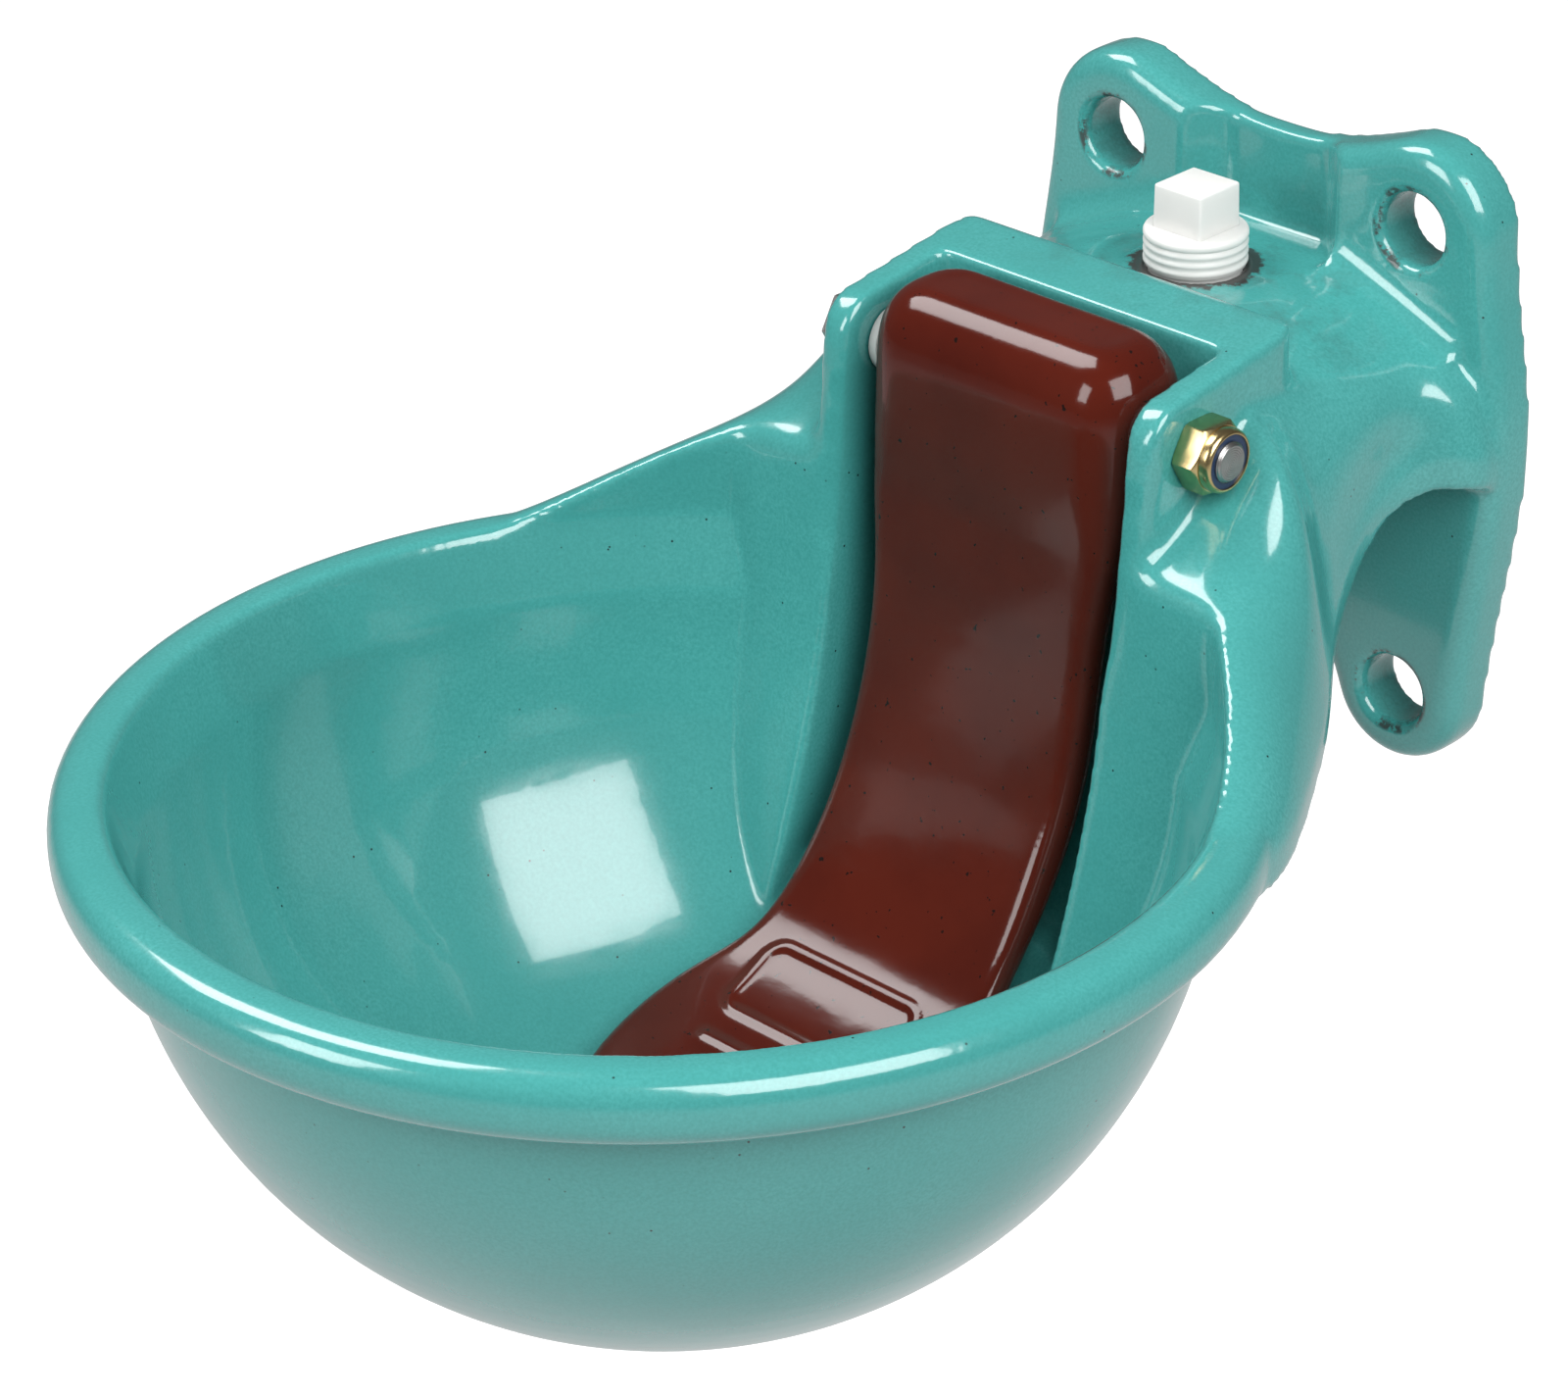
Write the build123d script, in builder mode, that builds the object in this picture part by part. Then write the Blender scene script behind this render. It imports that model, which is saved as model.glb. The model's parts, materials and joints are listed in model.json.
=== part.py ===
"""Livestock drinking bowl: an enamelled cast-iron bowl with a push tongue and a brass valve.

Millimetres. +Z up, +X to the side of the lock nut. The origin is the centre of the four wall
bolts, on the wall face: the wall is the plane Y = 0, and the bowl reaches out towards -Y.
"""
import os
from math import radians, sin, cos
from build123d import *

os.makedirs("parts", exist_ok=True)

# ---- driving dimensions: bowl -------------------------------------------------------------
BOWL_Y = -178.0            # bowl centre, in front of the wall
BOWL_Z = -19.0             # level of the widest ring of the bowl
BOWL_OUTER_R = 102.0
BOWL_WALL = 5.0
BEAD_OUTER_R = 112.0       # rolled rim
BEAD_TOP_Z = -12.0
BEAD_HEIGHT = 14.0
BEAD_ROUND = 5.6

# ---- driving dimensions: neck, shelf and hood -----------------------------------------------
SHELF_Z = 38.5             # top of the shelf that joins the bowl to the flange
NECK_WALL = 6.0
HOOD_RAISE = 6.0           # crest of the hood above the shelf
HOOD_CORNER_R = 9.0        # back corners of the hood, seen from above
CROWN_ROUND = 3.5          # top edges of the hood and cheeks
CHANNEL_HALF = 35.4        # half the clear width between the cheeks
CHEEK_WALL = 7.0
CHANNEL_BACK_Y = -65.0     # front face of the hood's back wall
HOOD_WALL = 7.0

# ---- driving dimensions: wall flange ----------------------------------------------------------
FLANGE_T = 12.0
FLANGE_HALF = 60.5
HOLE_X = 38.0              # half the bolt spacing across
HOLE_Z = 50.0              # half the bolt spacing up and down
HOLE_R = 7.5
EAR_R = 17.5
EAR_EDGE_ROUND = 4.5
GROOVE_HALF = 20.0         # pipe groove down the middle of the flange
GROOVE_FLOOR = 5.5         # thickness left behind the groove

# ---- driving dimensions: water way ------------------------------------------------------------
PORT_Y = -30.5
PORT_R = 9.4               # tapping size of a G 1/2 thread
PORT_SEAT_R = 12.6
PORT_DEPTH = 15.0
PORT_BOSS_R = 16.0
PORT_BOSS_FOOT_Z = -30.0
WATER_R = 6.5
VALVE_Z = -4.0
VALVE_THREAD_R = 10.0
VALVE_BOSS_R = 15.0

# ---- driving dimensions: pivot ------------------------------------------------------------------
PIVOT_Y = -79.8
PIVOT_Z = 28.5
BOLT_R = 4.0
BOLT_HOLE_GAP = 0.2
BUSH_GAP = 0.08            # running clearance of the bush on the bolt
BUSH_WALL = 2.2
BUSH_FLANGE_R = 6.8
BUSH_FLANGE_T = 1.9
SIDE_GAP = 0.3             # bush flange to cheek
NUT_AF = 13.0
NUT_HEX_T = 5.6
NUT_COLLAR_T = 2.4
BOLT_HEAD_T = 5.3
BOLT_STANDOUT = 0.6        # bolt end beyond the lock nut

# ---- driving dimensions: tongue -------------------------------------------------------------------
TONGUE_WAIST_HALF = 28.5
TONGUE_FOOT_HALF = 38.0
TONGUE_ROUND = 0.42        # corner radius of a section, as a share of its thickness

# ---- driving dimensions: valve -----------------------------------------------------------------------
GASKET_T = 1.5
GASKET_R = 13.0
VALVE_HEX_AF = 24.0
VALVE_HEX_T = 5.0
VALVE_SHANK_L = 20.0
STEM_R = 2.5
STEM_GAP = 0.06
STEM_HEAD_R = 4.4
STEM_HEAD_T = 2.4
STEM_REACH_GAP = 0.3       # stem head to the back of the resting tongue
SEAL_R = 7.4
SEAL_T = 2.5
SEAL_WASHER_T = 1.0
STEM_NUT_AF = 8.0
STEM_NUT_T = 4.0
SPRING_WIRE_R = 0.55
SPRING_TURNS = 4.5

# ---- driving dimensions: plug --------------------------------------------------------------------------
PLUG_THREAD_GAP = 0.05
PLUG_SHOW = 7.6            # thread left standing above the shelf
PLUG_IN = 11.0
PLUG_SQUARE = 12.2
PLUG_HEAD_H = 9.0
PLUG_THREAD_R = 10.4

# ---- places that follow from the driving dimensions ----------------------------------------------------
BOWL_INNER_R = BOWL_OUTER_R - BOWL_WALL
HOOD_TOP = SHELF_Z + HOOD_RAISE
CHEEK_OUT = CHANNEL_HALF + CHEEK_WALL
TONGUE_HALF = CHANNEL_HALF - SIDE_GAP - BUSH_FLANGE_T
BUSH_BORE_R = BOLT_R + BUSH_GAP
BUSH_R = BUSH_BORE_R + BUSH_WALL
HOOD_BACK_Y = CHANNEL_BACK_Y + HOOD_WALL
CHEEK_FRONT_Y = -97.0
CREST_Y = -50.5
HOOD_HEEL_Y = HOOD_BACK_Y + 0.2
HOOD_STEP = 9.7            # how far the crest's block reaches below the shelf
HOOD_SLOPE = 7.0           # fall of the cheek tops towards the bowl
REAR_WALL = ((-66.0, HOOD_TOP + 40), (-78.0, HOOD_TOP + 2), (-83.5, 40.4), (-89.0, 37.8), (-92.5, 32.5),
             (-94.3, 24.0), (-96.2, 8.0), (-100.5, -30.0), (-106.0, -53.0), (-113.5, -75.0),
             (-122.0, -2 * BOWL_OUTER_R))
RIM_MOUTH_R = 101.5        # inside edge of the rim
MOUTH_FLARE_Z = -27.0
REAR_BLEND = 10.0
RECESS_TOP_Z = -19.0
RECESS_FOOT = (-92.0, -76.0)
FLANGE_DIP_Z = 59.0
EAR_FOOT_R = 15.5
NOTCH_Z = -34.0
HOLE_EDGE_ROUND = 1.2
COVE_R = 8.0
COVE_LIFT = 0.0
COVE_RUN = 34.0
COVE_FALL = 0.40           # the shoulder's fall towards either side
VALVE_SEAT_Y = CHANNEL_BACK_Y + VALVE_SHANK_L
CHAMBER_R = 9.0
# front (Y, Z), back (Y, Z) and half-width of each section of the tongue, from the head to the toe
TONGUE_SECTIONS = (
    ((-84.0, 44.2), (-74.0, 44.2), TONGUE_HALF - 11.0),
    ((-88.8, 41.4), (-69.6, 41.4), TONGUE_HALF - 3.2),
    ((-91.9, 36.2), (-67.4, 36.2), TONGUE_HALF - 0.6),
    ((-93.1, PIVOT_Z), (-66.6, PIVOT_Z), TONGUE_HALF),
    ((-93.2, 20.0), (-68.6, 20.0), TONGUE_HALF - 0.2),
    ((-92.9, 10.0), (-76.0, 12.0), TONGUE_HALF - 1.4),
    ((-93.1, 0.0), (-82.8, 0.6), TONGUE_WAIST_HALF + 1.8),
    ((-94.3, -12.0), (-85.8, -13.0), TONGUE_WAIST_HALF + 0.2),
    ((-97.2, -32.0), (-89.4, -33.8), TONGUE_WAIST_HALF),
    ((-103.2, -50.0), (-95.8, -53.0), TONGUE_WAIST_HALF),
    ((-112.6, -66.5), (-107.2, -70.6), TONGUE_WAIST_HALF),
    ((-125.0, -80.0), (-121.4, -85.2), TONGUE_WAIST_HALF + 1.5),
    ((-136.0, -86.3), (-133.4, -92.0), TONGUE_FOOT_HALF - 3.5),
    ((-148.0, -90.7), (-145.6, -97.2), TONGUE_FOOT_HALF),
    ((-160.0, -94.0), (-158.2, -100.2), TONGUE_FOOT_HALF - 0.5),
    ((-172.0, -96.5), (-170.9, -102.2), TONGUE_FOOT_HALF - 4.5),
    ((-180.5, -97.8), (-179.8, -103.0), TONGUE_FOOT_HALF - 12.0),
    ((-186.0, -98.8), (-185.6, -103.2), TONGUE_FOOT_HALF - 23.0),
)
BUSH_L = 12.0
INSERT_WALL = 1.3
PLUG_FOOT_Z = SHELF_Z + 0.4 - PLUG_IN
SCREW_GAP = 0.05
VALVE_WAY_R = 6.5
VALVE_GUIDE_L = 5.0
VALVE_OUTLET_R = 1.2
TONGUE_REST_Y = -84.0      # back of the resting tongue at the height of the valve
STEM_DOME = 1.2
STEM_DOME_R = (STEM_HEAD_R ** 2 + STEM_DOME ** 2) / (2 * STEM_DOME)
STEM_HEAD_Y = TONGUE_REST_Y + STEM_REACH_GAP
SPRING_END_GAP = 0.1
SPRING_START_Y = STEM_HEAD_Y + STEM_HEAD_T + SPRING_WIRE_R + SPRING_END_GAP
SPRING_L = CHANNEL_BACK_Y - GASKET_T - VALVE_HEX_T - SPRING_WIRE_R - SPRING_END_GAP - SPRING_START_Y
SPRING_R = STEM_R + SPRING_WIRE_R + 0.6
STEM_TAIL = 0.6
EPS = 0.01


def side_plane(x=0.0):
    """A sketch plane facing +X whose local axes are world Y and Z."""
    return Plane(origin=(x, 0, 0), x_dir=(0, 1, 0), z_dir=(1, 0, 0))


def cross_plane(y):
    """A sketch plane across the neck at a given Y, with local axes world X and Z."""
    return Plane(origin=(0, y, 0), x_dir=(1, 0, 0), z_dir=(0, -1, 0))


# ---- neck: (Y, top Z, crest half-width, lip half-width, lip bottom Z, shoulder points) ---------------------
NECK_SECTIONS = (
    (-6.0, SHELF_Z, 14.0, 59.0, 0.0, ((34.0, 34.0), (46.0, 29.0), (55.0, 22.5))),
    (-26.0, SHELF_Z, 14.0, 52.5, 2.0, ((34.0, 34.0), (44.0, 29.8), (50.0, 24.0))),
    (-42.0, SHELF_Z, 14.0, 52.5, -7.0, ((34.0, 34.2), (43.5, 30.0), (49.5, 23.0))),
    (-57.0, SHELF_Z, 14.0, 59.5, -14.0, ((34.0, 34.5), (43.5, 30.0), (52.0, 18.0))),
    (-68.0, SHELF_Z - 9.0, 41.0, 67.0, -18.0, ()),
    (-79.0, SHELF_Z - 20.0, 45.0, 75.0, -21.0, ()),
    (-92.0, SHELF_Z - 28.5, 50.0, 83.0, -23.0, ()),
    (-108.0, SHELF_Z - 37.0, 63.0, 92.0, -25.0, ()),
    (-124.0, SHELF_Z - 46.5, 77.0, 98.5, -25.0, ()),
    (-140.0, SHELF_Z - 51.5, 88.0, 101.5, -23.5, ()),
    (-156.0, SHELF_Z - 54.0, 92.0, 102.0, -22.0, ()),
)
LIP_H = 7.0


def neck_section(y, top_z, crest_x, lip_x, lip_z, shoulders, inset):
    """One cross section of the neck, arched from the crest down to the lip of the skirt."""
    with BuildSketch(cross_plane(y)) as section:
        with BuildLine():
            top = top_z - inset
            lip = lip_x - inset
            crest = min(crest_x, lip - 8)
            foot = lip_z - (inset * 3)
            Line((0, top), (crest, top))
            bends = [(x - inset / 2, z - inset) for x, z in shoulders]
            Spline((crest, top), *bends, (lip, lip_z + LIP_H - inset), tangents=((1, 0), (0.35, -1)),
                   tangent_scalars=(1.2, 1.2))
            Line((lip, lip_z + LIP_H - inset), (lip, foot))
            Line((lip, foot), (0, foot))
            mirror(about=Plane.YZ)
        make_face()
    return section.sketch


def neck_loft(inset):
    with BuildPart() as neck:
        loft([neck_section(*section, inset) for section in NECK_SECTIONS])
    return neck.part



def neck_hollow():
    """The open space under the neck, kept clear of the bowl's own wall."""
    with BuildPart() as hollow:
        add(neck_loft(NECK_WALL))
        with Locations((0, BOWL_Y, BOWL_Z)):
            Sphere(BOWL_OUTER_R, mode=Mode.SUBTRACT)
            Cylinder(RIM_MOUTH_R + BOWL_WALL, 3 * BOWL_OUTER_R, align=(Align.CENTER, Align.CENTER, Align.MIN),
                     mode=Mode.SUBTRACT)
    return hollow.part


def bowl_solids():
    """The bowl's outside with its rolled rim."""
    with BuildPart() as bowl:
        with BuildSketch(cross_plane(BOWL_Y)):
            with Locations((0, BOWL_Z)):
                Circle(BOWL_OUTER_R)
                Rectangle(2 * BOWL_OUTER_R, BOWL_OUTER_R, align=(Align.CENTER, Align.MIN), mode=Mode.SUBTRACT)
                Rectangle(BOWL_OUTER_R, 2 * BOWL_OUTER_R, align=(Align.MAX, Align.CENTER), mode=Mode.SUBTRACT)
        revolve(axis=Axis((0, BOWL_Y, 0), (0, 0, 1)))
        with BuildSketch(cross_plane(BOWL_Y)) as bead:
            with Locations(((BEAD_OUTER_R + BOWL_INNER_R) / 2, BEAD_TOP_Z - BEAD_HEIGHT / 2)):
                Rectangle(BEAD_OUTER_R - BOWL_INNER_R, BEAD_HEIGHT)
            fillet(bead.vertices(), BEAD_ROUND)
        revolve(axis=Axis((0, BOWL_Y, 0), (0, 0, 1)))
    return bowl.part


def bowl_cavity():
    """The room for the water: a round bowl whose rear wall is flattened towards the hood."""
    with BuildPart() as cavity:
        with BuildSketch(cross_plane(BOWL_Y)):
            with BuildLine():
                floor = CenterArc((0, BOWL_Z), BOWL_INNER_R, -90, 85)
                Polyline(floor @ 1, (RIM_MOUTH_R - 1, BEAD_TOP_Z - 3), (RIM_MOUTH_R, BEAD_TOP_Z),
                         (RIM_MOUTH_R, HOOD_TOP + 20), (0, HOOD_TOP + 20), floor @ 0)
            make_face()
        revolve(axis=Axis((0, BOWL_Y, 0), (0, 0, 1)))
        with BuildSketch(side_plane()):
            with BuildLine():
                wall = Spline(*REAR_WALL)
                Polyline(wall @ 1, (3 * BOWL_Y, -2 * BOWL_OUTER_R), (3 * BOWL_Y, HOOD_TOP + 40), wall @ 0)
            make_face()
        extrude(amount=2 * BOWL_OUTER_R, both=True, mode=Mode.INTERSECT)
    return cavity.part


def hood_block():
    """The block that carries the hood: cheeks in front, back wall behind, its crown rounded over."""
    with BuildPart() as block:
        with BuildSketch(side_plane()):
            with BuildLine():
                Polyline((HOOD_HEEL_Y, SHELF_Z - HOOD_STEP), (CREST_Y + 2.8, SHELF_Z - HOOD_STEP),
                         (CREST_Y + 1, SHELF_Z),
                         (CREST_Y, HOOD_TOP), (2 * CHEEK_FRONT_Y, HOOD_TOP - HOOD_SLOPE * (2 * CHEEK_FRONT_Y - CREST_Y)
                                               / (CHEEK_FRONT_Y - CREST_Y)),
                         (2 * CHEEK_FRONT_Y, RECESS_FOOT[1] - 20),
                         (RECESS_FOOT[0] - 20, RECESS_FOOT[1] - 20), (RECESS_FOOT[0] + 2, RECESS_FOOT[1] - 6),
                         (RECESS_FOOT[0] + HOOD_WALL - 1, RECESS_FOOT[1] - 1),
                         (HOOD_BACK_Y, RECESS_TOP_Z - 3.3), close=True)
            make_face()
        extrude(amount=CHEEK_OUT, both=True)
        with BuildSketch(Plane.XY.offset(-2 * BOWL_OUTER_R)) as plan:
            with Locations((0, CREST_Y + 3)):
                Rectangle(2 * CHEEK_OUT, 2 * BOWL_OUTER_R, align=(Align.CENTER, Align.MAX))
            fillet(plan.vertices().group_by(Axis.Y)[-1], HOOD_CORNER_R)
        extrude(amount=4 * BOWL_OUTER_R, mode=Mode.INTERSECT)
        roof = block.faces().sort_by(Axis.Z)[-1]
        fillet(roof.edges().sort_by(Axis.Y)[1:], CROWN_ROUND)
    return block.part


def channel_cut():
    """The slot between the cheeks, from the bowl back to the hood's back wall."""
    with BuildPart() as slot:
        with BuildSketch(side_plane()):
            with BuildLine():
                Polyline((CHANNEL_BACK_Y, HOOD_TOP + 20), (CHANNEL_BACK_Y, RECESS_TOP_Z), RECESS_FOOT,
                         (RECESS_FOOT[0] - 18, RECESS_FOOT[1]), (CHEEK_FRONT_Y - 40, HOOD_TOP + 20), close=True)
            make_face()
        extrude(amount=CHANNEL_HALF, both=True)
        with BuildSketch(cross_plane(BOWL_Y)):
            with Locations((0, BOWL_Z)):
                Circle(BOWL_INNER_R)
                Rectangle(BOWL_INNER_R, 2 * BOWL_INNER_R, align=(Align.MAX, Align.CENTER), mode=Mode.SUBTRACT)
        revolve(axis=Axis((0, BOWL_Y, 0), (0, 0, 1)))
        with Locations((0, BOWL_Y, 0)):
            Box(2 * CHANNEL_HALF, 3 * BOWL_OUTER_R, 4 * BOWL_OUTER_R, mode=Mode.INTERSECT)
    return slot.part


def flange_plate():
    """The upright wall flange with its four ears, pipe groove and bolt holes."""
    with BuildPart() as plate:
        with BuildSketch(cross_plane(0)):
            with BuildLine():
                upper = CenterArc((HOLE_X, HOLE_Z), EAR_R, 3, 107)
                lower = CenterArc((HOLE_X, -HOLE_Z), EAR_FOOT_R, -5, -155)
                Spline((0, FLANGE_DIP_Z), upper @ 1, tangents=((1, 0), -(upper % 1)))
                Spline(upper @ 0, (FLANGE_HALF, HOLE_Z / 4), lower @ 0, tangents=(-(upper % 0), lower % 0))
                Spline(lower @ 1, (0, NOTCH_Z), tangents=(lower % 1, (-1, 0)))
                mirror(about=Plane.YZ)
            make_face()
        extrude(amount=FLANGE_T)
        fillet(plate.faces().sort_by(Axis.Y)[0].edges(), EAR_EDGE_ROUND)
        with BuildSketch(Plane.XY.offset(SHELF_Z)) as groove:
            with BuildLine():
                Polyline((-GROOVE_HALF - 8, -FLANGE_T - 8), (-GROOVE_HALF, -FLANGE_T),
                         (-GROOVE_HALF + 7, -GROOVE_FLOOR), (GROOVE_HALF - 7, -GROOVE_FLOOR),
                         (GROOVE_HALF, -FLANGE_T), (GROOVE_HALF + 8, -FLANGE_T - 8), close=True)
            make_face()
            fillet(groove.vertices().filter_by_position(Axis.Y, -FLANGE_T - 1, 0), 5)
        extrude(amount=2 * HOLE_Z, mode=Mode.SUBTRACT)
        with BuildSketch(cross_plane(0)):
            with GridLocations(2 * HOLE_X, 2 * HOLE_Z, 2, 2):
                Circle(HOLE_R)
        extrude(amount=FLANGE_T, mode=Mode.SUBTRACT)
        rims = plate.edges().filter_by(GeomType.CIRCLE).filter_by(lambda e: abs(e.radius - HOLE_R) < EPS)
        fillet(rims.group_by(Axis.Y)[0], HOLE_EDGE_ROUND)
    return plate.part


def shelf_gusset(side):
    """The cove between the falling shoulder of the neck and one ear of the flange."""
    rise = SHELF_Z + COVE_LIFT
    with BuildPart() as cove:
        with BuildSketch(side_plane(side * GROOVE_HALF)):
            with BuildLine():
                a = (-FLANGE_T, rise + COVE_R)
                b = (-FLANGE_T - COVE_R, rise)
                RadiusArc(a, b, COVE_R)
                Polyline(b, (-FLANGE_T - COVE_R, rise - 7), (-FLANGE_T + 3, rise - 7),
                         (-FLANGE_T + 3, rise + COVE_R), a)
            make_face()
        extrude(amount=COVE_RUN, dir=(side, 0, -COVE_FALL))
    return cove.part


def water_way():
    """The bosses and bores that bring water from either port to the valve."""
    with BuildPart() as bosses:
        with BuildSketch(Plane.XY.offset(PORT_BOSS_FOOT_Z)):
            with Locations((0, PORT_Y)):
                Circle(PORT_BOSS_R)
            with Locations((0, PORT_Y / 2)):
                Rectangle(10, -PORT_Y - 4)
        extrude(amount=SHELF_Z - PORT_BOSS_FOOT_Z - 1)
        with BuildSketch(Plane.XY.offset(SHELF_Z - 1)):
            with Locations((0, PORT_Y)):
                Circle(PORT_SEAT_R + 1)
        extrude(amount=1.4, taper=20)
        with BuildSketch(cross_plane(PORT_Y)):
            with Locations((0, VALVE_Z)):
                Circle(VALVE_BOSS_R)
        extrude(amount=PORT_Y - HOOD_BACK_Y + 2)
    with BuildPart() as bores:
        with Locations((0, PORT_Y, SHELF_Z + 1)):
            Cylinder(PORT_R, PORT_DEPTH + 1, align=(Align.CENTER, Align.CENTER, Align.MAX))
        with Locations((0, PORT_Y, PORT_BOSS_FOOT_Z)):
            Cylinder(PORT_R, PORT_DEPTH, align=(Align.CENTER, Align.CENTER, Align.MIN))
            Cylinder(WATER_R, SHELF_Z - PORT_BOSS_FOOT_Z, align=(Align.CENTER, Align.CENTER, Align.MIN))
        with BuildSketch(cross_plane(PORT_Y)):
            with Locations((0, VALVE_Z)):
                Circle(CHAMBER_R)
        extrude(amount=PORT_Y - VALVE_SEAT_Y)
        with BuildSketch(cross_plane(VALVE_SEAT_Y)):
            with Locations((0, VALVE_Z)):
                Circle(VALVE_THREAD_R)
        extrude(amount=VALVE_SEAT_Y - CHANNEL_BACK_Y + 1)
    return bosses.part, bores.part


with BuildPart() as bowl_casting:
    add(neck_loft(0.0))
    add(neck_hollow(), mode=Mode.SUBTRACT)
    with Locations((0, -FLANGE_T, SHELF_Z)):
        Box(2 * BEAD_OUTER_R, FLANGE_T - HOOD_BACK_Y, SHELF_Z, mode=Mode.SUBTRACT,
            align=(Align.CENTER, Align.CENTER, Align.MIN))
    add(bowl_solids())
    add(hood_block())
    water_bosses, water_bores = water_way()
    add(water_bosses)
    add(bowl_cavity(), mode=Mode.SUBTRACT)
    add(channel_cut(), mode=Mode.SUBTRACT)
    add(flange_plate())
    add(shelf_gusset(-1))
    add(shelf_gusset(1))
    add(water_bores, mode=Mode.SUBTRACT)
    with BuildSketch(cross_plane(0)):
        with GridLocations(2 * HOLE_X, 2 * HOLE_Z, 2, 2):
            Circle(HOLE_R)
    extrude(amount=FLANGE_T + COVE_R, mode=Mode.SUBTRACT)
    with BuildSketch(side_plane()):
        with Locations((PIVOT_Y, PIVOT_Z)):
            Circle(BOLT_R + BOLT_HOLE_GAP)
    extrude(amount=CHEEK_OUT + 1, both=True, mode=Mode.SUBTRACT)
bowl_casting.part.label = "bowl_casting"
export_step(bowl_casting.part, "parts/bowl_casting.step")

# ---- tongue ---------------------------------------------------------------------------------------------
def tongue_section(front, back, half_width):
    """A rounded cross section of the tongue, spanning from its front face to its back."""
    across = Vector(0, front[0] - back[0], front[1] - back[1])
    middle = ((front[0] + back[0]) / 2, (front[1] + back[1]) / 2)
    with BuildSketch(Plane(origin=(0, *middle), x_dir=(1, 0, 0), z_dir=Vector(1, 0, 0).cross(across))) as section:
        RectangleRounded(2 * half_width, across.length, TONGUE_ROUND * across.length)
    return section.sketch


with BuildPart() as tongue:
    loft([tongue_section(*row) for row in TONGUE_SECTIONS])
    with BuildSketch(side_plane(-TONGUE_HALF - 1)):
        with Locations((PIVOT_Y, PIVOT_Z)):
            Circle(BUSH_R)
    extrude(amount=2 * TONGUE_HALF + 2, mode=Mode.SUBTRACT)
    for side in (-1, 1):
        with BuildSketch(side_plane(side * TONGUE_HALF)):
            with Locations((PIVOT_Y, PIVOT_Z)):
                Circle(BUSH_FLANGE_R + 1)
        extrude(amount=side * 2, mode=Mode.SUBTRACT)
tongue.part.label = "tongue"
export_step(tongue.part, "parts/tongue.step")

# ---- pivot hardware -----------------------------------------------------------------------------------------


def bush(side):
    """One flanged nylon bush, pressed into the tongue on the given side (-1 left, +1 right)."""
    with BuildPart() as piece:
        with BuildSketch(side_plane(side * TONGUE_HALF)):
            with Locations((PIVOT_Y, PIVOT_Z)):
                Circle(BUSH_FLANGE_R)
        extrude(amount=side * BUSH_FLANGE_T)
        with BuildSketch(side_plane(side * TONGUE_HALF)):
            with Locations((PIVOT_Y, PIVOT_Z)):
                Circle(BUSH_R)
        extrude(amount=-side * BUSH_L)
        with BuildSketch(side_plane()):
            with Locations((PIVOT_Y, PIVOT_Z)):
                Circle(BUSH_BORE_R)
        extrude(amount=2 * TONGUE_HALF, both=True, mode=Mode.SUBTRACT)
    return piece.part


bush_left = bush(-1)
bush_left.label = "bush_left"
export_step(bush_left, "parts/bush_left.step")
bush_right = bush(1)
bush_right.label = "bush_right"
export_step(bush_right, "parts/bush_right.step")

with BuildPart() as pivot_bolt:
    with BuildSketch(side_plane(-CHEEK_OUT)):
        with Locations((PIVOT_Y, PIVOT_Z)):
            RegularPolygon(NUT_AF / 2, 6, major_radius=False)
    extrude(amount=-BOLT_HEAD_T)
    chamfer(pivot_bolt.faces().sort_by(Axis.X)[0].edges(), 0.6)
    with BuildSketch(side_plane(-CHEEK_OUT)):
        with Locations((PIVOT_Y, PIVOT_Z)):
            Circle(BOLT_R)
    extrude(amount=2 * CHEEK_OUT + NUT_HEX_T + NUT_COLLAR_T + BOLT_STANDOUT)
    chamfer(pivot_bolt.faces().sort_by(Axis.X)[-1].edges(), 0.6)
pivot_bolt.part.label = "pivot_bolt"
export_step(pivot_bolt.part, "parts/pivot_bolt.step")

with BuildPart() as pivot_nut:
    with BuildSketch(side_plane(CHEEK_OUT)):
        with Locations((PIVOT_Y, PIVOT_Z)):
            RegularPolygon(NUT_AF / 2, 6, major_radius=False)
    extrude(amount=NUT_HEX_T)
    with BuildSketch(side_plane(CHEEK_OUT)):
        with Locations((PIVOT_Y, PIVOT_Z)):
            Circle(NUT_AF / 2 - 0.1)
    extrude(amount=NUT_HEX_T + NUT_COLLAR_T)
    fillet(pivot_nut.faces().sort_by(Axis.X)[-1].edges(), 1.2)
    with BuildSketch(side_plane(CHEEK_OUT)):
        with Locations((PIVOT_Y, PIVOT_Z)):
            Circle(BOLT_R)
    extrude(amount=NUT_HEX_T + NUT_COLLAR_T, mode=Mode.SUBTRACT)
    with BuildSketch(side_plane(CHEEK_OUT + NUT_HEX_T)):
        with Locations((PIVOT_Y, PIVOT_Z)):
            Circle(BOLT_R + INSERT_WALL)
    extrude(amount=NUT_COLLAR_T, mode=Mode.SUBTRACT)
pivot_nut.part.label = "pivot_nut"
export_step(pivot_nut.part, "parts/pivot_nut.step")

with BuildPart() as nut_insert:
    with BuildSketch(side_plane(CHEEK_OUT + NUT_HEX_T)):
        with Locations((PIVOT_Y, PIVOT_Z)):
            Circle(BOLT_R + INSERT_WALL)
            Circle(BOLT_R, mode=Mode.SUBTRACT)
    extrude(amount=NUT_COLLAR_T - 0.4)
nut_insert.part.label = "nut_insert"
export_step(nut_insert.part, "parts/nut_insert.step")

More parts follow.
